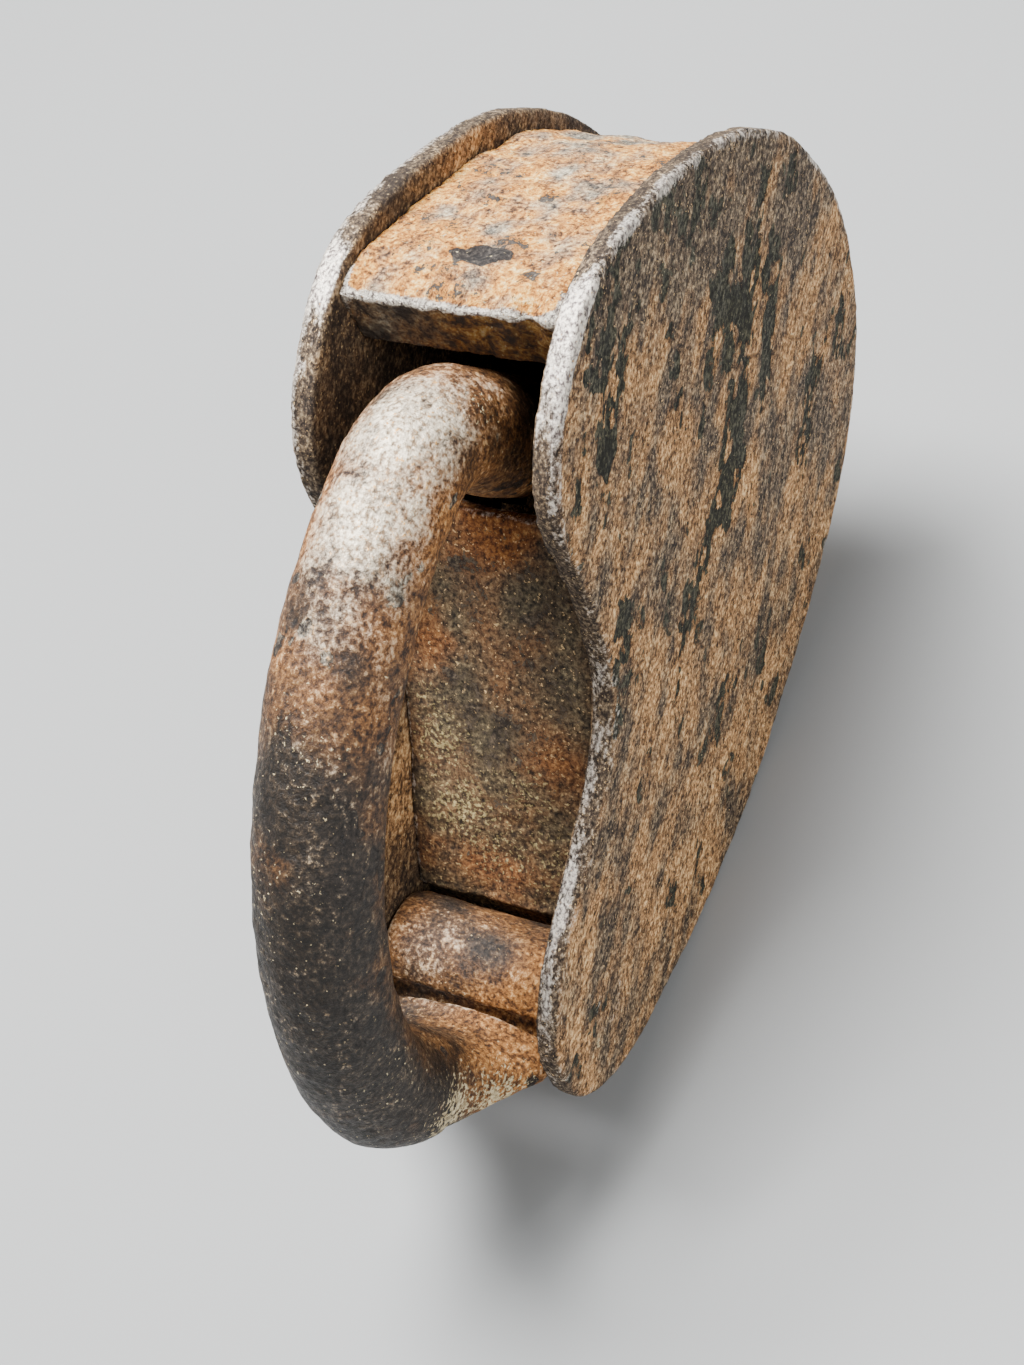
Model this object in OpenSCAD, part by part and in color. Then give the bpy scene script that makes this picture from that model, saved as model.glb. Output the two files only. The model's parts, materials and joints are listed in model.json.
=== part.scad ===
// Old heart-shaped iron padlock with a closed bow shackle, standing on its long flank.
// It is drawn with x across the lobes, y through its thickness and z up to the bow,
// and stand() turns it onto the flank that it rests on.

/* [Case] */
// Width of the two plates, lobe to lobe
body_w = 100; // [92:1:122]
// Height of the two plates, lobe to point
body_h = 85; // [80:1:104]
// Clear gap between the plates
gap = 22; // [20:0.5:28]
// Thickness of each plate
plate_t = 2.4; // [1.8:0.1:3.2]
// Thickness of the strips that close the case
strip_t = 2; // [1.5:0.1:2.6]
// How far the plates stand proud of the case strip
rim = 2.6; // [2:0.1:3.2]
// The same where the strip ends at the toe opening
rim_end = 0.8; // [0.4:0.1:2]
// Length of the case strip's lip, turned in at the toe opening
lip_len = 6.6; // [5:0.1:8]

/* [Shackle] */
// Diameter of the shackle bar
bar_d = 11.8; // [10:0.1:12.4]
// Height of the bow's centreline above the hinge
bow_rise = 43; // [40:1:52]
// How much the top arc's radius exceeds half the bow's span
bow_ease = 11.9; // [10:0.1:16]
// Bend radius at the toe, on the centreline
toe_bend = 10; // [8:0.5:11]
// Bend radius at the heel, on the centreline
heel_bend = 16; // [14:0.5:18]
// How far the heel's centreline lies beyond the hinge
heel_out = 8.5; // [8:0.1:9.5]
// Thickness of the flattened neck between bow and eye
neck_t = 7.8; // [6.5:0.1:8.6]
// Diameter of the rolled eye
eye_d = 12.2; // [11:0.1:12.6]
// Depth of the seam where the roll meets the neck
seam = 2.4; // [1:0.1:3]
// How far the toe reaches below the hinge
toe_drop = 9; // [7:0.5:11]
// How far the shackle swings open, in degrees
open_angle = 105; // [90:1:105]

/* [Rivets] */
// Diameter of the hinge rivet
hinge_d = 5; // [4:0.1:6]
// Diameter of the case rivets between the plates
post_d = 5; // [4:0.1:6]
// Diameter of the case rivets' ends, in the plates
tenon_d = 3.2; // [2.5:0.1:3.6]

/* [Lock work] */
// Reach of the key's bit from its pin
key_reach = 12; // [10:0.5:13]
// Travel of the bolt
bolt_throw = 4.5; // [3.5:0.1:5]
// Height of the bolt's nose
bolt_h = 8; // [7:0.1:9]
// Height of the bolt's tail
tail_h = 4; // [3.5:0.1:4.4]
// Thickness of the bolt
bolt_t = 5; // [4:0.1:7]
// Diameter of the pin that the key turns on
key_pin_d = 4; // [3:0.1:4.6]
// Wall of the guides round the bolt
guide_wall = 1.5; // [1:0.1:1.8]
// Width of the guides along the bolt
guide_w = 3; // [2:0.1:3.4]
// Thickness of the leaf spring
spring_t = 1; // [0.6:0.1:1.4]
// Width of the leaf spring
spring_w = 8; // [5:0.5:12]
// Diameter of the studs that stop the bolt and hold the spring
stud_d = 2.2; // [1.8:0.1:2.6]
// Height of the wards above the plates
ward_h = 3; // [2:0.1:4]
// Thickness of the wards
ward_t = 1.2; // [0.8:0.1:1.6]

/* [Keyhole] */
// Diameter of the keyhole's round part
keyhole_d = 7.6; // [6:0.1:9]
// Width of the keyhole's slot
keyhole_w = 3.2; // [2.4:0.1:4]
// Thickness of the swinging cover
cover_t = 1.6; // [1.2:0.1:2.2]
// Radius of the cover at its pivot
cover_top_r = 4.6; // [4:0.1:5.5]
// Radius of the cover over the keyhole
cover_r = 8; // [7:0.1:9]
// Distance from the cover's pivot to the key pin
cover_drop = 15; // [14:0.5:18]
// Diameter of the cover's rivet
cover_pin_d = 3; // [2.4:0.1:3.6]
// Height of that rivet's head
cover_head_h = 1.2; // [0.8:0.1:1.8]

/* [Stance] */
// Turn from the drawing onto the flank, in degrees
rest_tilt = 37.5; // [30:0.5:50]

/* [Hidden] */

// Clearances, each on one side
run_fit = 0.08;    // shaft in a bore that turns
snug_fit = 0.04;   // rivet in its hole
slide_fit = 0.3;   // sliding and swinging pieces
swing_gap = 0.9;   // toe past the throat strip's end
lip_gap = 0.7;     // case strip's lip to the closed toe
eye_gap = 0.9;     // eye to the strip that cradles it
seat_fit = 0.2;    // posts to the strip, and the cover's faces
open_spare = 10;   // angle left between the open neck and the cradle's edge

smooth = 96;       // segments of a full circle
step_n = 5;        // segments between two points of the outline

// Outline of the plates at 100 x 85, through the lobes, the throat between them and the point
ref_w = 100;
ref_h = 85;
shape = [[49.6, 2], [46.5, 15], [39, 29], [29.5, 39.8], [18.5, 42.5], [9, 39.5],
         [1.8, 29.5], [-6, 20.8], [-15, 18], [-25, 19.4], [-36, 20.8], [-45.5, 17.2],
         [-50.4, 8], [-47.4, -3.5], [-37, -15.7], [-24, -26.8], [-10, -34.3], [5, -39.7],
         [20, -42.2], [35, -36.8], [45.6, -24], [49.4, -11]];
function place(p) = [p[0] * body_w / ref_w, p[1] * body_h / ref_h];

// A closed smooth curve through the outline's points
n_shape = len(shape);
function knot(i) = place(shape[(i + n_shape) % n_shape]);
function curve(i, t) =
    let (a = knot(i - 1), b = knot(i), c = knot(i + 1), d = knot(i + 2))
    0.5 * (2 * b + (c - a) * t + (2 * a - 5 * b + 4 * c - d) * t * t
           + (3 * b - a - 3 * c + d) * t * t * t);
// Point at u along the outline, where whole numbers are its points, moved in by inset
function rim_at(u) = curve(floor(u), u - floor(u));
function unit(v) = v / norm(v);
function inward(u) = let (d = unit(rim_at(u + 0.02) - rim_at(u - 0.02))) [-d[1], d[0]];
function inset(u, depth) = rim_at(u) + depth * inward(u);
// The u between u0 and u1 at which the inset curve, running to the left, comes to x
function u_at_x(x, depth, u0, u1, n = 24) =
    let (mid = (u0 + u1) / 2)
    n == 0 ? mid
           : inset(mid, depth)[0] > x ? u_at_x(x, depth, mid, u1, n - 1)
                                      : u_at_x(x, depth, u0, mid, n - 1);
function run(u0, u1, depth) =
    let (n = round((u1 - u0) * step_n))
    [for (i = [0 : n]) inset(u0 + (u1 - u0) * i / n, depth)];
function turn(p, a) = [p[0] * cos(a) - p[1] * sin(a), p[0] * sin(a) + p[1] * cos(a)];

// Places, all in the drawing's x and z
upright_lean = 20;                      // hung by its bow, the lock turns the drawing back by this
down = [sin(upright_lean), -cos(upright_lean)];
hinge = place([-40.5, 7]);
key = place([-3, -6]);
toe_x = place([15.2, 0])[0];
lip_dir = unit([-3.5, -5.6]);
strip_from = 13.42;                     // case strip's start, below the eye
strip_to = u_at_x(toe_x + bar_d / 2 + lip_gap - lip_len * lip_dir[0], rim_end,
                  n_shape + 2, n_shape + 5);
strip_end = inset(strip_to, rim_end);   // its outer corner at the toe opening
lip_tip = strip_end + lip_len * lip_dir;
lift_from = strip_to - 1.1;             // from here to its end the strip rises to the rims

// Bow: three tangent arcs and a straight toe
heel_x = hinge[0] - heel_out;
bow_r = (toe_x - heel_x) / 2 + bow_ease;
bow_c = [place([-11.5, 0])[0], hinge[1] + bow_rise - bow_r];
toe_a = acos((toe_x - toe_bend - bow_c[0]) / (bow_r - toe_bend));
toe_c = bow_c + (bow_r - toe_bend) * [cos(toe_a), sin(toe_a)];
heel_a = acos((heel_x + heel_bend - bow_c[0]) / (bow_r - heel_bend));
heel_c = bow_c + (bow_r - heel_bend) * [cos(heel_a), sin(heel_a)];
neck_from = 176;                        // heel angles between which the bar flattens
neck_to = 228;
neck_lap = 12;                          // the round bar runs on inside the neck by this
lip_at = 206;                           // heel angle of the lip over the roll
eye_len = gap - 2 * slide_fit;
neck_half = 0.7 * bar_d / 2;            // the neck starts as a square inside the bar
flat_in = 0.8;                          // what the flattening takes off the bar inside the bend
neck_in = heel_bend - bar_d / 2 + flat_in;
neck_out = neck_in + neck_t;
flare_at = 205;                         // heel angle square to the flare of the neck's sides
flare_from = -9;                        // and how far along the neck from there it widens
flare_to = 2.6;
lip_foot = 122;                         // angle about the hinge where the lip meets the roll
seam_at = 116;                          // and where the roll's seam lies
seam_w = 1;
joint_d = bar_d + 0.04;                 // ball that joins one arc of the bar to the next
toe_tip = hinge[1] - toe_drop;

// Throat strip: a straight ramp from the eye to the toe opening, then round under the eye
cradle_r = eye_d / 2 + eye_gap;
cradle_from = -8;                       // angles about the hinge that the cradle spans
// The neck leaves the cradle's radius at this angle, and turns by open_angle with the shackle
neck_way = heel_c - hinge;
neck_edge = atan2(neck_way[1], neck_way[0])
    + acos((cradle_r * cradle_r + neck_way * neck_way - neck_out * neck_out)
           / (2 * cradle_r * norm(neck_way)));
cradle_to = neck_edge + open_angle + open_spare - 360;
ramp_gap = 1.6;                         // ramp's end to the closed toe
ramp_low = hinge + cradle_r * [cos(cradle_from), sin(cradle_from)];
ramp_high = [toe_x - bar_d / 2 - ramp_gap, place([0, 25.4])[1]];
ramp_dir = unit(ramp_high - ramp_low);
ramp_in = strip_t * [ramp_dir[1], -ramp_dir[0]];
ramp_turn = 14;                         // angle by which the strip's outer bend starts later
swing_r = norm(ramp_high - hinge) + swing_gap;

// Bolt
bit_bite = 1.5;                         // how far the key's bit enters the bolt
bit_gap = 1;                            // keyhole's slot past the bit
bolt_z = key[1] + key_reach - bit_bite; // its lower edge
nose_gap = 0.8;                         // drawn nose to the toe's path
nose_x = hinge[0] + sqrt(swing_r * swing_r - pow(bolt_z + bolt_h / 2 - hinge[1], 2)) - nose_gap;
notch_x = nose_x + bolt_throw + 2 * slide_fit;  // bottom of the toe's notch
guide_off = 8.5;                        // guides clear the key's sweep by this, from its pin
shoulder_x = key[0] - 5;
tail_out = 0.8;                         // how far the locked tail stays out past its guide
tail_x = key[0] - guide_off - guide_w - bolt_throw - tail_out;
talon_w = 6;
talon_h = 2.2;
stop_at = [key[0] + 5.4, bolt_z + bolt_h - 2.5];
slot_h = stud_d + 2 * slide_fit;
stud_over = 1;                          // how far the studs stand past what they hold
pin_short = 3;                          // key pin's end to the keyhole's plate
ward_share = 0.55;                      // ward's radius in the key's reach
ward_open = 30;                         // half the angle that it leaves for the key
cut = 1;                                // how far cutting shapes run past what they cut

// Leaf spring, a vee with its foot hooked on its stud and its tip at the bolt's tail
spring_tip = [tail_x - slide_fit, bolt_z + 0.6];
spring_bend = spring_tip + [-6.5, -17.5];
spring_foot = spring_tip + [-10.5, -9];

// Keyhole cover: its pivot stands above the key pin, and at rest it hangs straight down
cover_at = key - cover_drop * down;
hang = rest_tilt + upright_lean;        // turn from closed over the keyhole to hanging
front_y = gap / 2 + plate_t;
cover_y = front_y + seat_fit;
head_y = cover_y + cover_t + seat_fit;
head_share = 2.1;                       // head of its rivet, in shank diameters

// Posts' places, just inside the case strip
post_u = [15.1, 17.2, 19.2, 21.4, 24.1];
post_in = rim + strip_t + post_d / 2 + seat_fit;

// Stance: the drawing turned onto its flank, its lowest point at z 0, centred in x and y
outline = run(0, n_shape, 0);
standing = [for (p = outline) turn(p, rest_tilt)];
low_z = min([for (p = standing) p[1]]);
right_x = max([for (p = standing) p[0]]);
left_x = turn(bow_c, rest_tilt)[0] - bow_r - bar_d / 2;
mid_y = (head_y + cover_head_h - front_y) / 2;

module stand() {
    translate([-(left_x + right_x) / 2, -mid_y, -low_z]) rotate([0, -rest_tilt, 0]) children();
}

// A flat piece: a shape drawn in x and z, standing from y0 to y1
module slab(y0, y1) {
    translate([0, y1, 0]) rotate([90, 0, 0]) linear_extrude(y1 - y0) children();
}

// A round piece along y at p
module rod(p, d, y0, y1) {
    translate([p[0], y1, p[1]]) rotate([90, 0, 0]) cylinder(h = y1 - y0, d = d, $fn = smooth);
}

// A bent length of whatever section is drawn, about c, from angle a0 to a1
module bend(c, a0, a1) {
    translate([c[0], 0, c[1]]) rotate([90, 0, 0]) rotate([0, 0, a0])
        rotate_extrude(angle = a1 - a0, $fn = smooth) children();
}

// Points of an arc about c, from angle a0 to a1
function arc(c, r, a0, a1, n = 12) =
    [for (i = [0 : n]) let (a = a0 + (a1 - a0) * i / n) c + r * [cos(a), sin(a)]];

// A flat link with a round end at a and another at b
module link(a, ra, b, rb) {
    way = atan2(b[1] - a[1], b[0] - a[0]);
    lean = acos((ra - rb) / norm(b - a));
    polygon(concat(arc(a, ra, way + lean, way + 360 - lean, 24),
                   arc(b, rb, way - lean, way + lean, 24)));
}

module plate_shape() {
    difference() {
        polygon([for (i = [0 : len(outline) - 2]) outline[i]]);
        translate(hinge) circle(d = hinge_d + 2 * snug_fit, $fn = smooth);
        for (u = post_u)
            translate(inset(u, post_in)) circle(d = tenon_d + 2 * snug_fit, $fn = smooth);
    }
}

// Plain plate; the rivets and the lock work stand on it
module back_plate() {
    color([0.45, 0.29, 0.20]) difference() {
        slab(-front_y, -gap / 2) plate_shape();
        rod(key, key_pin_d + 2 * snug_fit, -front_y - cut, 0);
        rod(stop_at, stud_d + 2 * snug_fit, -front_y - cut, 0);
        rod(spring_foot, stud_d + 2 * snug_fit, -front_y - cut, 0);
    }
}

// Plate with the keyhole
module front_plate() {
    color([0.42, 0.27, 0.19]) difference() {
        slab(gap / 2, front_y) plate_shape();
        rod(key, keyhole_d, 0, front_y + cut);
        slab(0, front_y + cut) translate(key) rotate(-90 + upright_lean)
            translate([0, -keyhole_w / 2]) square([key_reach + bit_gap, keyhole_w]);
        rod(cover_at, cover_pin_d + 2 * snug_fit, 0, front_y + cut);
    }
}

// Strip that closes the case round the flank, the point and the big lobe, and its lip
module case_strip() {
    n = round((strip_to - strip_from) * step_n);
    us = [for (i = [0 : n]) strip_from + (strip_to - strip_from) * i / n];
    outer = [for (u = us) inset(u, strip_depth(u))];
    bend_at = n - 1;                    // the last step lies within the lip's bend
    inner = [for (i = [bend_at : -1 : 0]) inset(us[i], strip_depth(us[i]) + strip_t)];
    lip_side = strip_t * [-lip_dir[1], lip_dir[0]];
    color([0.55, 0.37, 0.24]) slab(-gap / 2, gap / 2)
        polygon(concat(outer, [lip_tip, lip_tip + lip_side], inner));
}

// How deep the strip lies below the rims at u: at its end it rises almost level with them
function strip_depth(u) =
    let (t = max(0, (u - lift_from) / (strip_to - lift_from)))
    rim - (rim - rim_end) * t * t * (3 - 2 * t);

// Strip that floors the throat and cradles the eye
module throat_strip() {
    color([0.50, 0.33, 0.22]) slab(-gap / 2, gap / 2)
        polygon(concat(arc(hinge, cradle_r, cradle_to, cradle_from), [ramp_high, ramp_high + ramp_in],
                       arc(hinge, cradle_r + strip_t, cradle_from - ramp_turn, cradle_to)));
}

// Bar bent into a bow, flattened into a neck and rolled into an eye; its toe is notched
module shackle() {
    color([0.30, 0.25, 0.24]) difference() {
        union() {
            translate([toe_x, 0, toe_tip])
                cylinder(h = toe_c[1] - toe_tip, d = bar_d, $fn = smooth);
            ball([toe_x, toe_c[1]]);
            bend(toe_c, 0, toe_a) translate([toe_bend, 0]) circle(d = bar_d, $fn = smooth);
            ball(toe_c + toe_bend * [cos(toe_a), sin(toe_a)]);
            bend(bow_c, toe_a, heel_a) translate([bow_r, 0]) circle(d = bar_d, $fn = smooth);
            ball(bow_c + bow_r * [cos(heel_a), sin(heel_a)]);
            bend(heel_c, heel_a, neck_from + neck_lap)
                translate([heel_bend, 0]) circle(d = bar_d, $fn = smooth);
            ball(heel_c + heel_bend * [cos(neck_from + neck_lap), sin(neck_from + neck_lap)]);
            intersection() {
                slab(-eye_len / 2, eye_len / 2) neck_side();
                neck_flare();
            }
            rod(hinge, eye_d, -eye_len / 2, eye_len / 2);
        }
        rod(hinge, hinge_d + 2 * run_fit, -gap, gap);
        toe_cut();
        // seam of the roll
        slab(-gap, gap) translate(hinge) rotate(seam_at)
            translate([eye_d / 2 - seam, -seam_w / 2]) square([seam + seam_w / 2, seam_w]);
    }
}

module ball(p) { translate([p[0], 0, p[1]]) sphere(d = joint_d, $fn = smooth); }

// The toe's inner side follows its swing, and the bolt's notch is cut into it
module toe_cut() {
    intersection() {
        rod(hinge, 2 * swing_r, -gap, gap);
        translate([toe_x - bar_d, -gap, toe_tip - cut])
            cube([bar_d, 2 * gap, ramp_high[1] - toe_tip]);
    }
    translate([nose_x, -gap, bolt_z - slide_fit])
        cube([notch_x - nose_x, 2 * gap, bolt_h + 2 * slide_fit]);
}

// Side view of the neck, from the heel down to the eye
module neck_side() {
    n = 8;
    angles = [for (i = [0 : n]) neck_from + (neck_to - neck_from) * i / n];
    top_out = heel_bend + neck_half;
    top_in = heel_bend - neck_half;
    outer = [for (i = [n : -1 : 0])
        heel_c + (top_out + (neck_out - top_out) * i / n) * [cos(angles[i]), sin(angles[i])]];
    inner = [for (i = [0 : n]) let (a = neck_from + (lip_at - neck_from) * i / n)
        heel_c + (top_in + (neck_in - top_in) * i / n) * [cos(a), sin(a)]];
    polygon(concat(inner, [hinge + eye_d / 2 * [cos(lip_foot), sin(lip_foot)], hinge], outer));
}

// The neck seen from outside the bend, its sides flaring from the bar's width to the eye's
module neck_flare() {
    n = 6;
    side = [for (i = [0 : n]) [neck_half + (eye_len / 2 - neck_half) * pow(i / n, 2),
                               flare_from + (flare_to - flare_from) * i / n]];
    other = [for (i = [n : -1 : 0]) [-side[i][0], side[i][1]]];
    ends = 2 * heel_bend;
    translate([heel_c[0], 0, heel_c[1]]) rotate([0, -flare_at, 0]) rotate([90, 0, 90])
        linear_extrude(ends)
            polygon(concat([[-neck_half, -ends], [neck_half, -ends]], side,
                           [[eye_len / 2, ends], [-eye_len / 2, ends]], other));
}

// Hinge rivet, its ends flush with the plates
module hinge_rivet() {
    color([0.40, 0.30, 0.25]) rod(hinge, hinge_d, -front_y, front_y);
}

// Case rivets: posts between the plates, with ends peened flush
module case_rivets() {
    color([0.40, 0.30, 0.25]) for (u = post_u) {
        rod(inset(u, post_in), post_d, -gap / 2, gap / 2);
        rod(inset(u, post_in), tenon_d, -front_y, front_y);
    }
}

// Bolt, drawn back: a nose for the toe's notch, a talon for the key, a slot for the stop
module bolt() {
    top = bolt_z + bolt_h;
    slot_x0 = stop_at[0] - bolt_throw - slot_h / 2;
    color([0.36, 0.33, 0.31]) slab(-bolt_t / 2, bolt_t / 2) difference() {
        polygon([[tail_x, bolt_z], [key[0] - talon_w / 2, bolt_z],
                 [key[0] - talon_w / 2, bolt_z + talon_h],
                 [key[0] + talon_w / 2, bolt_z + talon_h],
                 [key[0] + talon_w / 2, bolt_z], [nose_x, bolt_z], [nose_x, top],
                 [shoulder_x, top], [shoulder_x, bolt_z + tail_h], [tail_x, bolt_z + tail_h]]);
        translate([slot_x0, stop_at[1] - slot_h / 2])
            square([bolt_throw + slot_h, slot_h]);
    }
}

// Guide standing on the back plate, with a window that the bolt slides through
module guide(x, h) {
    color([0.38, 0.31, 0.27]) difference() {
        translate([x, -gap / 2, bolt_z - slide_fit - guide_wall])
            cube([guide_w, gap / 2 + bolt_t / 2 + slide_fit + guide_wall,
                  h + 2 * (slide_fit + guide_wall)]);
        translate([x - cut, -bolt_t / 2 - slide_fit, bolt_z - slide_fit])
            cube([guide_w + 2 * cut, bolt_t + 2 * slide_fit, h + 2 * slide_fit]);
    }
}

module toe_guide() { guide(key[0] + guide_off, bolt_h); }

module tail_guide() { guide(key[0] - guide_off - guide_w, tail_h); }

// Leaf spring behind the bolt's tail
module bolt_spring() {
    half = spring_t / 2;
    color([0.33, 0.30, 0.30]) slab(-spring_w / 2, spring_w / 2) {
        link(spring_bend, half, spring_tip + [-half, 0], half);
        difference() {
            union() {
                link(spring_bend, half, spring_foot + [stud_d / 2 + half, 0], half);
                translate(spring_foot) circle(d = stud_d + 2 * snug_fit + 2 * spring_t, $fn = smooth);
            }
            translate(spring_foot) circle(d = stud_d + 2 * snug_fit, $fn = smooth);
        }
    }
}

module spring_stud() {
    color([0.40, 0.34, 0.30]) rod(spring_foot, stud_d, -front_y, spring_w / 2 + stud_over);
}

module stop_stud() {
    color([0.40, 0.34, 0.30]) rod(stop_at, stud_d, -front_y, bolt_t / 2 + stud_over);
}

// Pin that the hollow key turns on, short of the keyhole
module key_pin() {
    color([0.40, 0.34, 0.30]) rod(key, key_pin_d, -front_y, gap / 2 - pin_short);
}

// Ward fence round the key pin, open where the key goes in
module ward(y0, y1) {
    way = -90 + upright_lean;           // towards the key's slot
    translate([0, (y0 + y1) / 2, 0]) bend(key, way + ward_open, way + 360 - ward_open)
        translate([key_reach * ward_share, -(y1 - y0) / 2]) square([ward_t, y1 - y0]);
}

module back_ward() { color([0.42, 0.33, 0.27]) ward(-gap / 2, -gap / 2 + ward_h); }

module front_ward() { color([0.42, 0.33, 0.27]) ward(gap / 2 - ward_h, gap / 2); }

// Swinging cover of the keyhole, hanging straight down
module keyhole_cover() {
    tip = cover_at + cover_drop * turn(down, -hang);
    color([0.34, 0.26, 0.21]) difference() {
        slab(cover_y, cover_y + cover_t) link(cover_at, cover_top_r, tip, cover_r);
        rod(cover_at, cover_pin_d + 2 * run_fit, front_y, cover_y + cover_t + cut);
    }
}

module cover_rivet() {
    color([0.40, 0.30, 0.25]) {
        rod(cover_at, cover_pin_d, gap / 2, head_y);
        rod(cover_at, cover_pin_d * head_share, head_y, head_y + cover_head_h);
    }
}

stand() back_plate();
stand() front_plate();
stand() case_strip();
stand() throat_strip();
stand() shackle();
stand() hinge_rivet();
stand() case_rivets();
stand() bolt();
stand() toe_guide();
stand() tail_guide();
stand() bolt_spring();
stand() spring_stud();
stand() stop_stud();
stand() key_pin();
stand() back_ward();
stand() front_ward();
stand() keyhole_cover();
stand() cover_rivet();
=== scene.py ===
import json
from itertools import product
from math import cos, pi, radians, sin
import bmesh
import bpy
import numpy as np
from mathutils import Matrix, Vector


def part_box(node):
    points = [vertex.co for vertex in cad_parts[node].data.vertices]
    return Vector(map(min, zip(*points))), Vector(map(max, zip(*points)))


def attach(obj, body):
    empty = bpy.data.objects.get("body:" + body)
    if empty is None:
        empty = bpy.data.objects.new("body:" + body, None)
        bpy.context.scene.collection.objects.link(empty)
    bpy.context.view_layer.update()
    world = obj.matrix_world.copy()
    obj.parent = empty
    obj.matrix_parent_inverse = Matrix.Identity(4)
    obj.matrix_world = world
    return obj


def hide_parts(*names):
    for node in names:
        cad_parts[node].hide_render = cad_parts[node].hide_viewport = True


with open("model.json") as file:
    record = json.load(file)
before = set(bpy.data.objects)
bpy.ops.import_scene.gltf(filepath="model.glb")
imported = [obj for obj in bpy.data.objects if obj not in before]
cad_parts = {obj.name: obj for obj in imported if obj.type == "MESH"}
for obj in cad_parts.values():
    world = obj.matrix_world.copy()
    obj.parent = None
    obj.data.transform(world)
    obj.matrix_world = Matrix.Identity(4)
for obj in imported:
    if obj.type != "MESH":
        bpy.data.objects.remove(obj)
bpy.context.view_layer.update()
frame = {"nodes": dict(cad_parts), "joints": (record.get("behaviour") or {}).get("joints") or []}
print("frame loaded,", len(frame["nodes"]), "nodes")

mm = 0.001
joints = {joint["name"]: joint for joint in frame["joints"]}
pivot = np.array(joints["shackle_hinge"]["pos_m"])          # middle of the shackle's eye
alongLock = np.array(joints["bolt_slide"]["axis"])          # from the eye across to the big lobe
towardBow = np.array([-alongLock[2], 0.0, alongLock[0]])
throughLock = np.array([0.0, 1.0, 0.0])                     # from the plain plate to the keyhole
stanceTilt = np.arctan2(alongLock[2], alongLock[0])
ridgeReach = 12                                             # rounds of smoothing that find ridges


# places on the lock are (along, through, toward the bow) in millimetres from the eye
def drawing(points):
    away = (points - pivot) / mm
    return np.stack([away @ alongLock, away @ throughLock, away @ towardBow], axis=1)


def placed(spots):
    spots = np.asarray(spots, dtype=float)
    return pivot + mm * spots @ np.stack([alongLock, throughLock, towardBow])


# a number from -1 to 1 that looks random, but is always the same for a cell and a seed
def hashed(cells, seed):
    c = cells.astype(np.int64).astype(np.uint32)
    h = c[:, 0] * np.uint32(374761393) + c[:, 1] * np.uint32(668265263)
    h = h + c[:, 2] * np.uint32(2246822519) + np.uint32(seed * 7919 + 13)
    h = (h ^ (h >> np.uint32(13))) * np.uint32(1274126177)
    h = (h ^ (h >> np.uint32(15))) * np.uint32(2654435761)
    h = h ^ (h >> np.uint32(16))
    return h.astype(np.float64) / 2 ** 31 - 1.0


# turns the noise so that its cells never line up with a face of the lock
leaning = np.array(Matrix.Rotation(radians(38), 3, Vector((1, 2, 0.5)).normalized()))


# smooth noise, about -1 to 1; size is how big its lumps are in millimetres, and every use has a
# seed of its own, so that no two lie alike
def lumps(spots, size, seed, octaves=1, fade=0.5):
    total = np.zeros(len(spots))
    weight = 1.0
    q = spots / np.asarray(size, dtype=float) @ leaning
    for octave in range(octaves):
        cell = np.floor(q)
        f = q - cell
        f = f * f * f * (f * (f * 6 - 15) + 10)
        for corner in product((0, 1), repeat=3):
            share = np.prod(np.where(np.array(corner) == 1, f, 1 - f), axis=1)
            total += weight * share * hashed(cell + corner, seed + octave)
        weight *= fade
        q = q @ leaning * 2.03 + 17.3                       # finer, turned and shifted
    return total


# distance to the nearest of many scattered points, in cells of the given size
def scattered(spots, size, seed):
    q = spots / np.asarray(size, dtype=float)
    cell = np.floor(q)
    nearest = np.full(len(spots), 9.0)
    for step in product((-1, 0, 1), repeat=3):
        c = cell + step
        point = c + 0.5 + 0.45 * np.stack([hashed(c, seed + k) for k in range(3)], axis=1)
        nearest = np.minimum(nearest, np.linalg.norm(q - point, axis=1))
    return nearest


def ease(low, high, x):
    t = np.clip((x - low) / (high - low), 0, 1)
    return t * t * (3 - 2 * t)


# how close each spot lies to a stroke from a to b, 1 on it and 0 beyond its half width
def stroke(spots, a, b, halfWidth, soft):
    a = np.array(a, dtype=float)
    b = np.array(b, dtype=float)
    flat = spots[:, [0, 2]]
    way = b - a
    t = np.clip((flat - a) @ way / (way @ way), 0, 1)
    away = np.linalg.norm((flat - a - t[:, None] * way) * (1, 0.6), axis=1)
    return 1 - ease(halfWidth - soft, halfWidth + soft, away)


# strongest share of the listed places at each spot; a place is (middle, reach, strength), its
# middle with two numbers when it goes right through the lock
def nearAny(spots, places):
    most = np.zeros(len(spots))
    for centre, reach, strength in places:
        centre = np.array(centre, dtype=float)
        flat = spots if len(centre) == 3 else spots[:, [0, 2]]
        away = np.linalg.norm(flat - centre, axis=1)
        most = np.maximum(most, strength * np.exp(-(away / reach) ** 2))
    return most


# a solid that starts as one or more of the frame's own
def startFrom(*names):
    bm = bmesh.new()
    for name in names:
        bm.from_mesh(frame["nodes"][name].data)
    bmesh.ops.remove_doubles(bm, verts=bm.verts, dist=1e-6)
    return bm


# cuts away what lies beyond a plane, and closes the cut
def cutOff(bm, spot, way):
    point = Vector(placed([spot])[0])
    away = Vector(placed([np.array(spot) + np.array(way)])[0]) - point
    everything = list(bm.verts) + list(bm.edges) + list(bm.faces)
    bmesh.ops.bisect_plane(bm, geom=everything, plane_co=point, plane_no=away.normalized(),
                           clear_outer=True)
    bmesh.ops.holes_fill(bm, edges=[e for e in bm.edges if e.is_boundary])


def makePiece(name, bm):
    mesh = bpy.data.meshes.new(name)
    bm.to_mesh(mesh)
    bm.free()
    piece = bpy.data.objects.new(name, mesh)
    bpy.context.scene.collection.objects.link(piece)
    return piece


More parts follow.
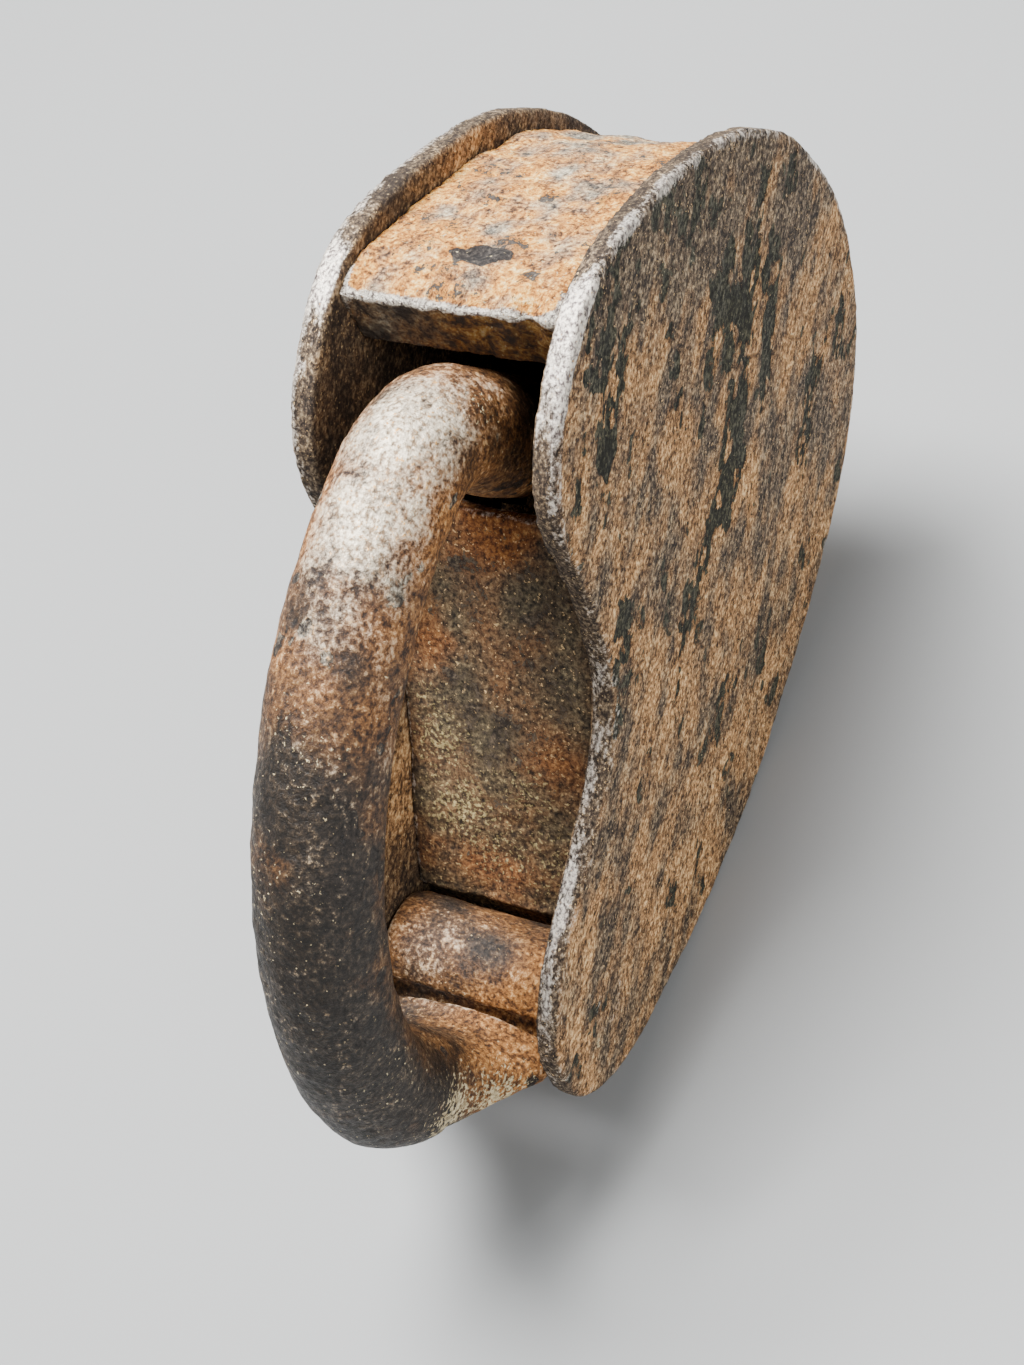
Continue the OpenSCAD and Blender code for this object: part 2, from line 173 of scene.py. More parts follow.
# an even skin over the piece, its edges rounded off
def forge(piece, look):
    skin = piece.modifiers.new("skin", "REMESH")
    skin.mode = "VOXEL"
    skin.voxel_size = look["voxel"] * mm
    soften = piece.modifiers.new("soften", "SMOOTH")
    soften.factor = 0.5
    soften.iterations = look["rounding"]
    graph = bpy.context.evaluated_depsgraph_get()
    rough = piece.data
    mesh = bpy.data.meshes.new_from_object(piece.evaluated_get(graph))
    piece.modifiers.clear()
    piece.data = mesh
    mesh.name = piece.name
    bpy.data.meshes.remove(rough)
    mesh.shade_smooth()
    return piece


def readSkin(piece):
    mesh = piece.data
    points = np.empty(len(mesh.vertices) * 3)
    mesh.vertices.foreach_get("co", points)
    normals = np.empty(len(mesh.vertices) * 3)
    mesh.vertex_normals.foreach_get("vector", normals)
    edges = np.empty(len(mesh.edges) * 2, dtype=np.int64)
    mesh.edges.foreach_get("vertices", edges)
    return points.reshape(-1, 3), normals.reshape(-1, 3), edges.reshape(-1, 2)


# how far each point stands above its neighbourhood, in millimetres: ridges plus, corners minus
def proud(points, normals, edges, reach):
    n = len(points)
    a, b = edges[:, 0], edges[:, 1]
    count = np.bincount(a, minlength=n) + np.bincount(b, minlength=n)
    smooth = points.copy()
    for _ in range(reach):
        for axis in range(3):
            column = smooth[:, axis]
            total = np.bincount(a, weights=column[b], minlength=n)
            total += np.bincount(b, weights=column[a], minlength=n)
            smooth[:, axis] = total / np.maximum(count, 1)
    return ((points - smooth) * normals).sum(axis=1) / mm


# moves the skin out by the height at each point, in millimetres
def press(piece, points, normals, height):
    moved = points + normals * (height * mm)[:, None]
    piece.data.vertices.foreach_set("co", moved.ravel())
    piece.data.update()


# keeps what the iron's material reads at each point
def paint(piece, **coats):
    for name, values in coats.items():
        coat = piece.data.attributes.new(name, "FLOAT", "POINT")
        coat.data.foreach_set("value", np.asarray(values, dtype=np.float32))


def finishPiece(piece, material, body, slot, *replaced):
    piece.data.materials.clear()
    piece.data.materials.append(material)
    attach(piece, body)
    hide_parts(*replaced)


# a colour from its red, green and blue out of 255
def tone(red, green, blue):
    def linear(c):
        c = c / 255
        return c / 12.92 if c <= 0.04045 else ((c + 0.055) / 1.055) ** 2.4
    return (linear(red), linear(green), linear(blue), 1.0)


def addNode(tree, kind, inputs=(), **settings):
    node = tree.nodes.new(kind)
    for name, value in settings.items():
        setattr(node, name, value)
    for name, value in dict(inputs).items():
        if isinstance(value, bpy.types.NodeSocket):
            tree.links.new(value, node.inputs[name])
        else:
            node.inputs[name].default_value = value
    return node


def noise(tree, place, scale, detail, roughness, distortion=0.0):
    made = addNode(tree, "ShaderNodeTexNoise", {
        "Vector": place, "Scale": scale, "Detail": detail, "Roughness": roughness,
        "Distortion": distortion})
    return made.outputs["Fac"]


def maths(tree, operation, a, b):
    return addNode(tree, "ShaderNodeMath", {0: a, 1: b}, operation=operation).outputs[0]


def plus(tree, a, b):
    return maths(tree, "ADD", a, b)


def minus(tree, a, b):
    return maths(tree, "SUBTRACT", a, b)


def times(tree, a, b):
    return maths(tree, "MULTIPLY", a, b)


def spread(tree, value, low, high, to0=0.0, to1=1.0):
    made = addNode(tree, "ShaderNodeMapRange", {
        "Value": value, "From Min": low, "From Max": high, "To Min": to0, "To Max": to1},
        interpolation_type="SMOOTHSTEP")
    return made.outputs["Result"]


def mixed(tree, share, a, b):
    made = addNode(tree, "ShaderNodeMix", {0: share, 6: a, 7: b}, data_type="RGBA")
    return made.outputs[2]


# a colour for each value, from stops of (value, tone)
def ramp(tree, value, stops):
    made = addNode(tree, "ShaderNodeValToRGB", {"Fac": value})
    line = made.color_ramp
    for element, (at, colour) in zip(line.elements, (stops[0], stops[-1])):
        element.position = at
        element.color = tone(*colour)
    for at, colour in stops[1:-1]:
        line.elements.new(at).color = tone(*colour)
    return made.outputs["Color"]


def painted(tree, name):
    return addNode(tree, "ShaderNodeAttribute", attribute_name=name).outputs["Fac"]


# where the grain is read, in millimetres: along the lock's own axes, or along the shackle's bar
def grainPlace(tree, look):
    if look["followBar"]:
        place = addNode(tree, "ShaderNodeAttribute", attribute_name="barPlace").outputs["Vector"]
    else:
        own = addNode(tree, "ShaderNodeTexCoord").outputs["Object"]
        place = addNode(tree, "ShaderNodeMapping", {
            "Vector": own, "Rotation": (0, stanceTilt, 0), "Scale": (1 / mm,) * 3}).outputs[0]
    return addNode(tree, "ShaderNodeMapping", {
        "Vector": place, "Scale": look["stretch"]}).outputs[0]


# the grains that break up every coat, each about 0.5 in the middle
def ironGrain(tree, look):
    place = grainPlace(tree, look)
    fine = noise(tree, place, look["fine"], 4, 0.7)
    middle = noise(tree, place, look["middle"], 5, 0.62, 0.3)
    both = plus(tree, times(tree, fine, look["fineShare"]),
                times(tree, middle, 1 - look["fineShare"]))
    return {"fine": fine, "middle": middle, "both": both,
            "speck": noise(tree, place, look["fine"] * look["speckFiner"], 2, 0.6)}


# a painted coat whose edge each named grain frays by its amount
def frayed(tree, name, grain, **fray):
    value = painted(tree, name)
    for which, amount in fray.items():
        value = plus(tree, value, times(tree, minus(tree, grain[which], 0.5), amount))
    return value


# how warm the rust is at each spot, and how far scale, crust and bare metal cover it
def ironCoats(tree, look, grain):
    zone = frayed(tree, "zone", grain, middle=look["zoneFray"])
    scale = frayed(tree, "scale", grain, middle=look["scaleFray"], fine=look["scaleFuzz"])
    crust = frayed(tree, "crust", grain, speck=look["crustFray"])
    wear = frayed(tree, "wear", grain, fine=look["wearFray"], middle=look["wearFray"])
    return {"zone": zone, "scaled": spread(tree, scale, *look["scaleAt"]),
            "crusted": spread(tree, crust, *look["crustAt"]),
            "worn": spread(tree, wear, *look["wornAt"])}


def ironColour(tree, look, grain, coats):
    cold = ramp(tree, grain["both"], look["cold"])
    warm = ramp(tree, grain["both"], look["warm"])
    colour = mixed(tree, spread(tree, coats["zone"], *look["warmAt"]), cold, warm)
    flecks = spread(tree, grain["speck"], *look["fleckAt"])
    colour = mixed(tree, flecks, colour, tone(*look["fleck"]))
    colour = mixed(tree, coats["scaled"], colour, ramp(tree, grain["both"], look["black"]))
    # painted shade and dirt: a dark colour laid where the pieces paint shade into corners, hollows
    # and faces turned from the light
    dirt = times(tree, painted(tree, "dirt"), spread(tree, grain["middle"], *look["dirtBreak"]))
    colour = mixed(tree, dirt, colour, tone(*look["dirt"]))
    colour = mixed(tree, coats["crusted"], colour, ramp(tree, grain["fine"], look["crust"]))
    colour = mixed(tree, coats["worn"], colour, ramp(tree, grain["speck"], look["metal"]))
    gold = times(tree, coats["worn"], spread(tree, grain["fine"], *look["goldAt"]))
    return mixed(tree, gold, colour, tone(*look["gold"]))


def ironRelief(tree, look, grain, coats):
    relief = times(tree, grain["fine"], look["fineRelief"])
    relief = plus(tree, relief, times(tree, grain["middle"], look["middleRelief"]))
    relief = minus(tree, relief, times(tree, coats["scaled"], look["scaleDepth"]))
    relief = plus(tree, relief, times(tree, coats["crusted"], look["crustHeight"]))
    return addNode(tree, "ShaderNodeBump", {
        "Height": relief, "Strength": look["bump"], "Distance": look["depth"] * mm}).outputs[0]


def ironRoughness(tree, look, grain, coats):
    rough = spread(tree, grain["fine"], *look["roughAt"], look["roughest"], look["smoothest"])
    rough = plus(tree, rough, spread(tree, coats["zone"], *look["warmRough"]))
    rough = times(tree, rough, spread(tree, coats["scaled"], 0, 1, 1, look["scaleGloss"]))
    return times(tree, rough, spread(tree, coats["worn"], 0, 1, 1, look["wornGloss"]))


# rusted iron: speckled rust, pale flecks, black scale, painted shade and dirt in the corners, pale
# crust, and bare metal with rust spots where it is worn or a highlight is painted
def rustIron(name, look):
    material = bpy.data.materials.new(name)
    material.use_nodes = True
    tree = material.node_tree
    tree.nodes.clear()
    grain = ironGrain(tree, look)
    coats = ironCoats(tree, look, grain)
    shader = addNode(tree, "ShaderNodeBsdfPrincipled", {
        "Base Color": ironColour(tree, look, grain, coats),
        "Roughness": ironRoughness(tree, look, grain, coats),
        "Normal": ironRelief(tree, look, grain, coats), "Specular IOR Level": look["sheen"],
        "Metallic": spread(tree, coats["worn"], 0, 1, look["dullMetal"], look["bareMetal"])})
    addNode(tree, "ShaderNodeOutputMaterial", {"Surface": shader.outputs[0]})
    return material


# the iron that the other looks start from; a pair whose name ends in At says where something
# begins and where it is full
rustLook = {
    "fine": 2.5, "middle": 0.45,                            # grains in a millimetre
    "fineShare": 0.8, "speckFiner": 1.25, "followBar": False, "stretch": (0.75, 1, 1),
    "cold": [(0.38, (22, 17, 14)), (0.45, (50, 39, 30)), (0.5, (80, 65, 50)),
             (0.55, (110, 92, 71)), (0.63, (172, 150, 118))],
    "warm": [(0.37, (44, 31, 22)), (0.44, (104, 75, 49)), (0.5, (156, 115, 75)),
             (0.56, (205, 157, 104)), (0.63, (244, 209, 154))],
    "warmAt": (-0.8, 0.8), "zoneFray": 1.7,
    "fleck": (224, 186, 132), "fleckAt": (0.64, 0.7),
    "black": [(0.38, (17, 16, 11)), (0.5, (36, 35, 27)), (0.62, (86, 82, 64))],
    "scaleAt": (0.47, 0.53), "scaleFray": 2.0, "scaleFuzz": 0.7,
    # the colour of the painted shade and dirt
    "dirt": (36, 27, 20), "dirtBreak": (0.3, 0.65, 1.0, 0.6),
    "crust": [(0.35, (132, 112, 78)), (0.62, (220, 204, 164))],
    "crustAt": (0.5, 0.7), "crustFray": 2.6,
    "metal": [(0.36, (96, 86, 84)), (0.58, (226, 216, 202))],
    "wornAt": (0.35, 0.75), "wearFray": 1.3, "gold": (200, 156, 100), "goldAt": (0.64, 0.69),
    "bump": 0.95, "depth": 0.16,                            # depth in millimetres
    "fineRelief": 1.0, "middleRelief": 1.6, "scaleDepth": 1.1, "crustHeight": 0.25,
    "roughAt": (0.3, 0.7), "roughest": 0.92, "smoothest": 0.66, "warmRough": (-0.3, 0.9, 0.0, 0.3),
    "scaleGloss": 1.1, "wornGloss": 0.55, "sheen": 0.35, "dullMetal": 0.0, "bareMetal": 0.55}

# what both plates share; each place is (middle, reach, strength), and lengths are in millimetres
plateLook = {
    "voxel": 0.42, "rounding": 3, "swell": 0.12, "swellSize": 16, "grain": 0.05,
    "grainSize": (2.2, 1.0, 1.0), "nick": 0.13, "nickSize": 4.5, "flakeDepth": 0.1,
    "strokeWidth": 1.12, "wander": (1.6, 0, 1.1), "coverMargin": 3,
    # strength, size and seed of the colder and warmer blotches
    "blotches": [(0.45, 9, 51), (0.7, (4.5, 2.6, 2.6), 53), (0.45, (7, 1.5, 1.5), 55)],
    # the ring of bare metal round the hinge: radius, half width and strength
    "hingeRing": (2.6, 0.8, 0.34),
    "rimDark": [((77, 26), 7, 0.95), ((85, 12), 9, 0.8), ((53, 32), 6, 0.5), ((46, 24), 7, 0.4)],
    # worn edges, outside and inside
    "rimOuter": [((74, 29), 7, 0.3), ((81, 18), 9, 0.28), ((87, 2), 12, 0.25), ((56, 34), 6, 0.3),
                 ((52, 32), 5, 0.2), ((60, -36), 16, 0.3), ((84, -22), 12, 0.3),
                 ((20, -22), 16, 0.25)],
    "rimInner": [((34, 15), 8, 0.45), ((24, 13), 8, 0.65), ((12, 14), 9, 0.78), ((2, 14), 7, 0.6),
                 ((-5, 8), 6, 0.35)],
    "innerWarm": [((18, 6), 7, 1.0), ((30, 12), 5, 0.6), ((84, 14), 8, 0.6)]}
plainLook = {
    **plateLook, "side": -1, "seed": 100, "patches": 0.5, "patchSize": (7, 5, 5),
    "rimWornAndHighlit": [((65, 34.8), 5, 1.4), ((59, 35.5), 4, 0.65)],
    "chip": [((-4, 1), 0.7, 0.9)],
    "cold": [((86, 8), 16, 1.2), ((78, 22), 11, 1.1), ((88, -14), 10, 0.9), ((70, 28), 6, 0.5),
             ((64, -34), 9, 0.6), ((56, -20), 8, 0.3), ((6, 2), 7, 0.5), ((40, 4), 5, 0.3)],
    "warm": [((56, -33), 6, 0.8), ((53, -11), 6, 0.7), ((32, 6), 6, 0.7), ((26, -4), 6, 0.6),
             ((24, -24), 6, 0.7), ((13, -18), 7, 0.8), ((60, 6), 5, 0.6), ((68, 2), 4, 0.6),
             ((58, 33), 3, 0.9), ((44, -12), 8, 0.4)],
    # black scale in strokes: from, to and half width
    "strokes": [
        ((68, 26), (62, 28.5), 1.7), ((63, 25), (55, 25.5), 1.1), ((74, 29), (70, 30), 0.7),
        ((69, 31), (65, 32.5), 0.6), ((77, 2), (70, 3.5), 1.1), ((79, -3), (70, -5), 1.3),
        ((74, 0), (67, -2), 1.3), ((70, -5), (66, -7), 0.7), ((64, -7), (52, -9), 1.6),
        ((58, -10), (52, -9), 1.2), ((73, -13), (65, -15), 1.2), ((51, -7), (41, -3), 1.1),
        ((41, -3), (34, -5), 0.8), ((42, 14), (38, 13), 0.8), ((89, -11), (85, -11), 0.7),
        ((84, 14), (79, 13), 0.8), ((76, -36), (72, -38), 0.9), ((70, -31), (58, -31), 1.0),
        ((67, 14), (64, 12), 0.6), ((62, 10), (60, 7), 0.5), ((62, 2), (60, 2), 0.5),
        ((86, -3), (80, -5), 0.7), ((80, -9), (76, -9), 0.7)]}
keyholeLook = {
    **plateLook, "side": 1, "seed": 200, "patches": 0.72, "patchSize": (10, 4, 4),
    "rimWornAndHighlit": [((67.5, 34.2), 3.8, 1.25), ((63, 35), 3, 0.4)], "chip": [],
    "cold": [((80, 10), 16, 0.8), ((50, -10), 14, 0.4), ((6, 0), 10, 0.6), ((66, 28), 9, 0.5)],
    "warm": [((60, -30), 8, 0.7), ((30, 0), 8, 0.6), ((20, -20), 8, 0.6), ((70, -6), 8, 0.6)],
    "strokes": [((60, 12), (66, 15), 1.2), ((50, -30), (55, -29), 1.0)]}
plateIron = rustIron("plateIron", rustLook)

coverRivet = drawing(np.array(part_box("cover_rivet"))).mean(axis=0)
coverBox = drawing(np.array(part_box("keyhole_cover")))
coverReach = float(np.linalg.norm(coverBox[:, [0, 2]] - coverRivet[[0, 2]], axis=1).max())


def plateScale(look, spots, onFace):
    seed = look["seed"]
    scale = np.zeros(len(spots))
    wander = np.stack([lumps(spots, 2.2, seed + 3, 3, 0.65), np.zeros(len(spots)),
                       lumps(spots, (3.5, 1.6, 1.6), seed + 5, 3, 0.65)], axis=1)
    strayed = spots + wander * look["wander"]
    for a, b, halfWidth in look["strokes"]:
        scale = np.maximum(scale, stroke(strayed, a, b, look["strokeWidth"] * halfWidth, 0.9))
    scale *= ease(-0.75, -0.3, lumps(spots, (2.8, 1.7, 1.7), seed + 65, 3, 0.7))
    patches = lumps(spots, look["patchSize"], seed + 61, 3, 0.68)
    return np.maximum(scale, look["patches"] * ease(0.25, 0.75, patches)) * onFace


def plateHeight(look, spots, onRim, scale):
    seed = look["seed"]
    height = look["swell"] * lumps(spots, look["swellSize"], seed, 2)
    height += look["grain"] * lumps(spots, look["grainSize"], seed + 9, 3, 0.6)
    height += look["nick"] * onRim * lumps(spots, look["nickSize"], seed + 21, 2)
    height -= look["flakeDepth"] * ease(0.35, 0.65, scale)
    if look["side"] == 1:                                    # level where the cover swings
        fromRivet = np.linalg.norm(spots - coverRivet, axis=1)
        height *= ease(coverReach, coverReach + look["coverMargin"], fromRivet)
    return height


# bare metal on the rim with a painted highlight: right across where it is bright, else by its outer
# or inner edge
def plateRimWear(look, spots, across):
    worn = nearAny(spots, look["rimOuter"]) * ease(0.7, 0.97, across)
    worn = np.maximum(nearAny(spots, look["rimWornAndHighlit"]), worn)
    return np.maximum(worn, nearAny(spots, look["rimInner"]) * (1 - ease(0.45, 0.9, across)))


def plateWear(look, spots, onFace, onRim, across, ridge, rimWear):
    layers = lumps(spots * (0.25, 1, 0.25), 0.55, look["seed"] + 35, 2)
    blotch = lumps(spots, 5, look["seed"] + 31, 2)
    wear = onRim * (rimWear * 0.95 + 0.1 * blotch + 0.12 * layers)
    ringRadius, ringWidth, ringWear = look["hingeRing"]
    fromHinge = np.linalg.norm(spots[:, [0, 2]], axis=1)
    ring = np.exp(-((fromHinge - ringRadius) / ringWidth) ** 2)
    wear = np.maximum(wear, ringWear * onFace * ring)
    corner = ease(0.08, 0.22, ridge) * (across > 0.5)
    edgeWear = np.maximum(nearAny(spots, look["rimWornAndHighlit"]), nearAny(spots, look["rimOuter"]))
    return np.maximum(wear, corner * (0.3 + 0.9 * edgeWear))


def plateZone(look, spots, onFace, onRim, innerWarm, inside):
    zone = nearAny(spots, look["warm"]) - nearAny(spots, look["cold"])
    for strength, size, seed in look["blotches"]:
        zone += strength * lumps(spots, size, look["seed"] + seed, 2)
    return onFace * zone - 0.9 * onRim + inside * (1.6 * innerWarm - 0.5)


def makePlate(name, nodes, look):
    side = look["side"]
    box = drawing(np.array(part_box(nodes[0])))
    outer, inner = sorted(box[:, 1], key=abs, reverse=True)
    bm = startFrom(*nodes)
    cutOff(bm, (0, inner, 0), (0, -side, 0))
    cutOff(bm, (0, outer, 0), (0, side, 0))
    piece = forge(makePiece(name, bm), look)
    points, normals, edges = readSkin(piece)
    spots = drawing(points)
    onFace = ease(0.5, 0.9, normals[:, 1] * side)
    inside = ease(0.5, 0.9, -normals[:, 1] * side)
    onRim = 1 - ease(0.5, 0.85, np.abs(normals[:, 1]))
    across = (spots[:, 1] - inner) / (outer - inner)         # 0 inside, 1 at the outer face
    ridge = proud(points, normals, edges, ridgeReach)
    scale = plateScale(look, spots, onFace)
    press(piece, points, normals, plateHeight(look, spots, onRim, scale))

    rimWear = plateRimWear(look, spots, across)
    innerWarm = nearAny(spots, look["innerWarm"])
    rimDark = np.maximum(0.3, nearAny(spots, look["rimDark"]))
    # painted shade: the plates' inner faces inside the lock are darkened, less where they are
    # orange; the rims are darkened too, less where they are worn
    dirt = inside * (0.7 - 0.6 * innerWarm) + onRim * rimDark * np.clip(1 - 1.3 * rimWear, 0, 1)
    crust = 0.12 * ease(0.2, 0.9, lumps(spots, 6, look["seed"] + 41, 2))
    crust = np.maximum(crust, onFace * nearAny(spots, look["chip"]))
    paint(piece, wear=plateWear(look, spots, onFace, onRim, across, ridge, rimWear), scale=scale,
          dirt=dirt, crust=crust, zone=plateZone(look, spots, onFace, onRim, innerWarm, inside))
    return piece


# the rivets' ends are part of the plain plate, ground flush with it
plainPlate = makePlate("plainPlate", ["back_plate", "hinge_rivet", "case_rivets", "key_pin",
                                      "stop_stud", "spring_stud"], plainLook)
finishPiece(plainPlate, plateIron, "case", "plate_iron", "back_plate")
keyholePlate = makePlate("keyholePlate", ["front_plate"], keyholeLook)
finishPiece(keyholePlate, plateIron, "case", "plate_iron", "front_plate")
print("plates made:", len(plainPlate.data.vertices), len(keyholePlate.data.vertices))

stripLook = {
    "voxel": 0.4, "rounding": 3, "swell": 0.28, "swellSize": 6, "pit": 0.2, "pitSize": 2.4,
    "grain": 0.1, "ragged": 0.4, "hump": 0.9, "middle": (48, -8),
    "end": (66.3, 34.2), "endFades": 5, "flakeAt": (71.2, -0.3, 29.6), "flakeDark": 1.3,
    "dents": [((71.5, 0.5, 29.5), 1.6, 0.5), ((89, 5, 0), 3.5, 0.9), ((80, -5, 17), 1.2, 0.25),
              ((76, 4, 24), 1.0, 0.2), ((74, -5, 25), 1.1, 0.15), ((84, 7, 9), 1.3, 0.3)],
    "spots": [((74, -5, 25), 0.9, 0.62), ((81, -3, 15), 1.0, 0.62), ((80, 4, 16), 0.9, 0.6),
              ((77, 3, 21), 0.8, 0.58), ((84, 7, 9), 1.0, 0.6), ((79, -5, 17), 1.0, 0.62)],
    "iron": {
        "stretch": (1, 1, 1), "fine": 2.0, "middle": 0.55, "fineShare": 0.62,
        "scaleFray": 1.3, "scaleFuzz": 1.3, "sheen": 0.5,
        "cold": [(0.38, (38, 34, 31)), (0.44, (80, 74, 66)), (0.5, (128, 121, 106)),
                 (0.56, (164, 158, 140)), (0.63, (210, 203, 180))],
        "warm": [(0.38, (56, 34, 17)), (0.44, (130, 80, 32)), (0.5, (190, 126, 50)),
                 (0.56, (220, 164, 78)), (0.63, (242, 210, 142))],
        "black": [(0.38, (14, 11, 10)), (0.5, (38, 32, 29)), (0.62, (84, 76, 68))],
        "metal": [(0.36, (96, 86, 84)), (0.58, (222, 214, 198))],
        "fineRelief": 1.3, "middleRelief": 2.6, "bump": 1.0, "depth": 0.3}}


def stripHeight(look, spots, outside, nearEnd):
    height = look["swell"] * lumps(spots, look["swellSize"], 300, 2) * outside
    height += look["grain"] * lumps(spots, 1.1, 310, 3, 0.6)
    pitting = 1 - ease(0.12, 0.45, scattered(spots, look["pitSize"], 320))
    height -= look["pit"] * pitting * ease(-0.5, 0.3, lumps(spots, 8, 330, 2))
    for centre, radius, depth in look["dents"]:
        away = np.linalg.norm(spots - np.array(centre), axis=1)
        height -= depth * np.exp(-(away / radius) ** 2)
    far = ease(84, 89, spots[:, 0]) * ease(-24, -16, spots[:, 2])      # the far end of the lobe
    height += look["hump"] * far * outside * (0.75 + 0.5 * lumps(spots, (9, 4, 9), 345, 2))
    height += look["ragged"] * nearEnd * lumps(spots * [0.3, 1, 0.3], 1.9, 340, 3)
    return height


# black scale: one crisp flake near the end, a few spots, and thin patches
def stripScale(look, spots, outside):
    flake = np.linalg.norm((spots - np.array(look["flakeAt"])) * [0.62, 0.4, 0.62], axis=1)
    flake = 1 - ease(0.8, 1.3, flake + 0.3 * lumps(spots, 1.6, 335, 2))
    scale = np.maximum(look["flakeDark"] * flake, nearAny(spots, look["spots"])) * outside
    patches = 0.44 * ease(0.15, 0.7, lumps(spots, (3, 2, 3), 350, 3, 0.65))
    return np.maximum(scale, patches * outside)


# orange toward both plates and on the lip, greyer between
def stripZone(spots, onLip, byRim):
    zone = 0.9 * byRim + 0.5 * ease(4, 10, -spots[:, 1]) + 0.2
    zone += 0.85 * lumps(spots, (4, 3, 4), 360, 3)
    lipZone = 0.7 - 0.12 * spots[:, 1] + 0.6 * lumps(spots, 4, 365, 2)
    return np.where(onLip > 0.5, lipZone, zone)


def makeStrip():
    look = stripLook
    piece = forge(makePiece("caseStrip", startFrom("case_strip")), look)
    points, normals, edges = readSkin(piece)
    spots = drawing(points)
    ridge = proud(points, normals, edges, ridgeReach)
    outward = spots[:, [0, 2]] - np.array(look["middle"])
    outward /= np.linalg.norm(outward, axis=1)[:, None]
    facing = (normals @ alongLock) * outward[:, 0] + (normals @ towardBow) * outward[:, 1]
    onLip = ease(66.6, 65.7, spots[:, 0]) * ease(20, 25, spots[:, 2])
    outside = ease(0.2, 0.7, facing) * (1 - onLip)
    fromEnd = np.linalg.norm(spots[:, [0, 2]] - np.array(look["end"]), axis=1)
    nearEnd = ease(look["endFades"], 0.5, fromEnd)
    press(piece, points, normals, stripHeight(look, spots, outside, nearEnd))

    wear = ease(0.13, 0.32, ridge) * (0.2 + 0.7 * nearEnd) + 0.1 * nearEnd * outside
    byRim = ease(7, 10.5, spots[:, 1])
    # painted shade: darker on faces turned inward, on the lip's face under the end, and a little
    # along the plates
    lipShade = 1.04 + 0.014 * spots[:, 1] + 0.2 * ease(65, 61, spots[:, 0])
    dirt = np.maximum(ease(0.1, -0.5, facing), onLip * np.clip(lipShade, 0, 1))
    dirt = np.maximum(dirt, 0.1 * byRim)
    paint(piece, wear=wear, scale=stripScale(look, spots, outside), dirt=dirt,
          crust=0.1 * outside, zone=stripZone(spots, onLip, byRim))
    stripIron = rustIron("stripIron", {**rustLook, **look["iron"]})
    finishPiece(piece, stripIron, "case", "strip_iron", "case_strip")
    return piece


caseStrip = makeStrip()
print("case strip made:", len(caseStrip.data.vertices))

throatLook = {
    "voxel": 0.4, "rounding": 3, "swell": 0.22, "swellSize": 8, "pit": 0.12, "pitSize": 2.6,
    "grain": 0.08, "crumb": 0.12,
    "stain": [((40, -5, 14), 6, 0.46), ((26, 0, 8), 5.5, 0.46), ((42, 3, 15), 5, 0.42),
              ((33, -6, 11), 5, 0.42), ((30, 4, 10), 5, 0.38)],
    "crust": [((24, 7, 7), 4.5, 0.5), ((17, 5, 4), 5, 0.58), ((13, 1, 3), 5, 0.42),
              ((20, -2, 5), 5, 0.34), ((13, -6, 2), 6, 0.36), ((28, 8, 9), 3, 0.35)],
    "warm": [((47, 0, 18), 5, 1.4), ((36, -2, 12), 5, 0.5), ((34, 8, 11), 3, 0.6),
             ((24, -7, 7), 4, 0.5), ((10, 0, 1), 4, 0.6)],
    "iron": {
        "stretch": (1, 1, 1), "fine": 1.8, "middle": 0.5, "zoneFray": 1.2,
        "scaleFray": 2.6, "scaleFuzz": 1.5,
        "black": [(0.38, (20, 16, 13)), (0.5, (44, 37, 31)), (0.62, (94, 80, 64))],
        "cold": [(0.37, (30, 26, 20)), (0.45, (62, 53, 40)), (0.51, (84, 73, 55)),
                 (0.57, (108, 94, 70)), (0.65, (150, 134, 100))],
        "warm": [(0.37, (48, 28, 16)), (0.45, (96, 58, 32)), (0.5, (128, 78, 42)),
                 (0.57, (156, 102, 56)), (0.65, (196, 146, 88))],
        "crust": [(0.35, (104, 88, 54)), (0.62, (192, 172, 120))]}}


def makeThroat():
    look = throatLook
    piece = forge(makePiece("throatStrip", startFrom("throat_strip")), look)
    points, normals, edges = readSkin(piece)
    spots = drawing(points)
    ridge = proud(points, normals, edges, ridgeReach)
    crust = nearAny(spots, look["crust"])
    height = look["swell"] * lumps(spots, look["swellSize"], 400, 2)
    height += look["grain"] * lumps(spots, 1.2, 410, 3, 0.6)
    height += look["crumb"] * crust * ease(0, 0.6, lumps(spots, 0.9, 415, 2))
    height -= look["pit"] * (1 - ease(0.1, 0.4, scattered(spots, look["pitSize"], 420)))
    press(piece, points, normals, height)

    stain = nearAny(spots, look["stain"])
    zone = nearAny(spots, look["warm"]) - 0.9 * stain - 0.25 + 0.4 * lumps(spots, 5, 440, 2)
    # painted shade: darker along the plates and on faces not turned toward the bow
    side = ease(8.5, 11, np.abs(spots[:, 1]))
    upward = ease(0.2, 0.6, normals @ towardBow)
    dirt = np.maximum(0.5 * side, 0.8 * (1 - upward))
    paint(piece, wear=0.5 * ease(0.1, 0.3, ridge), scale=stain, dirt=dirt, crust=crust, zone=zone)
    throatIron = rustIron("throatIron", {**rustLook, **look["iron"]})
    finishPiece(piece, throatIron, "case", "strip_iron", "throat_strip")
    return piece


throatStrip = makeThroat()
print("throat strip made:", len(throatStrip.data.vertices))

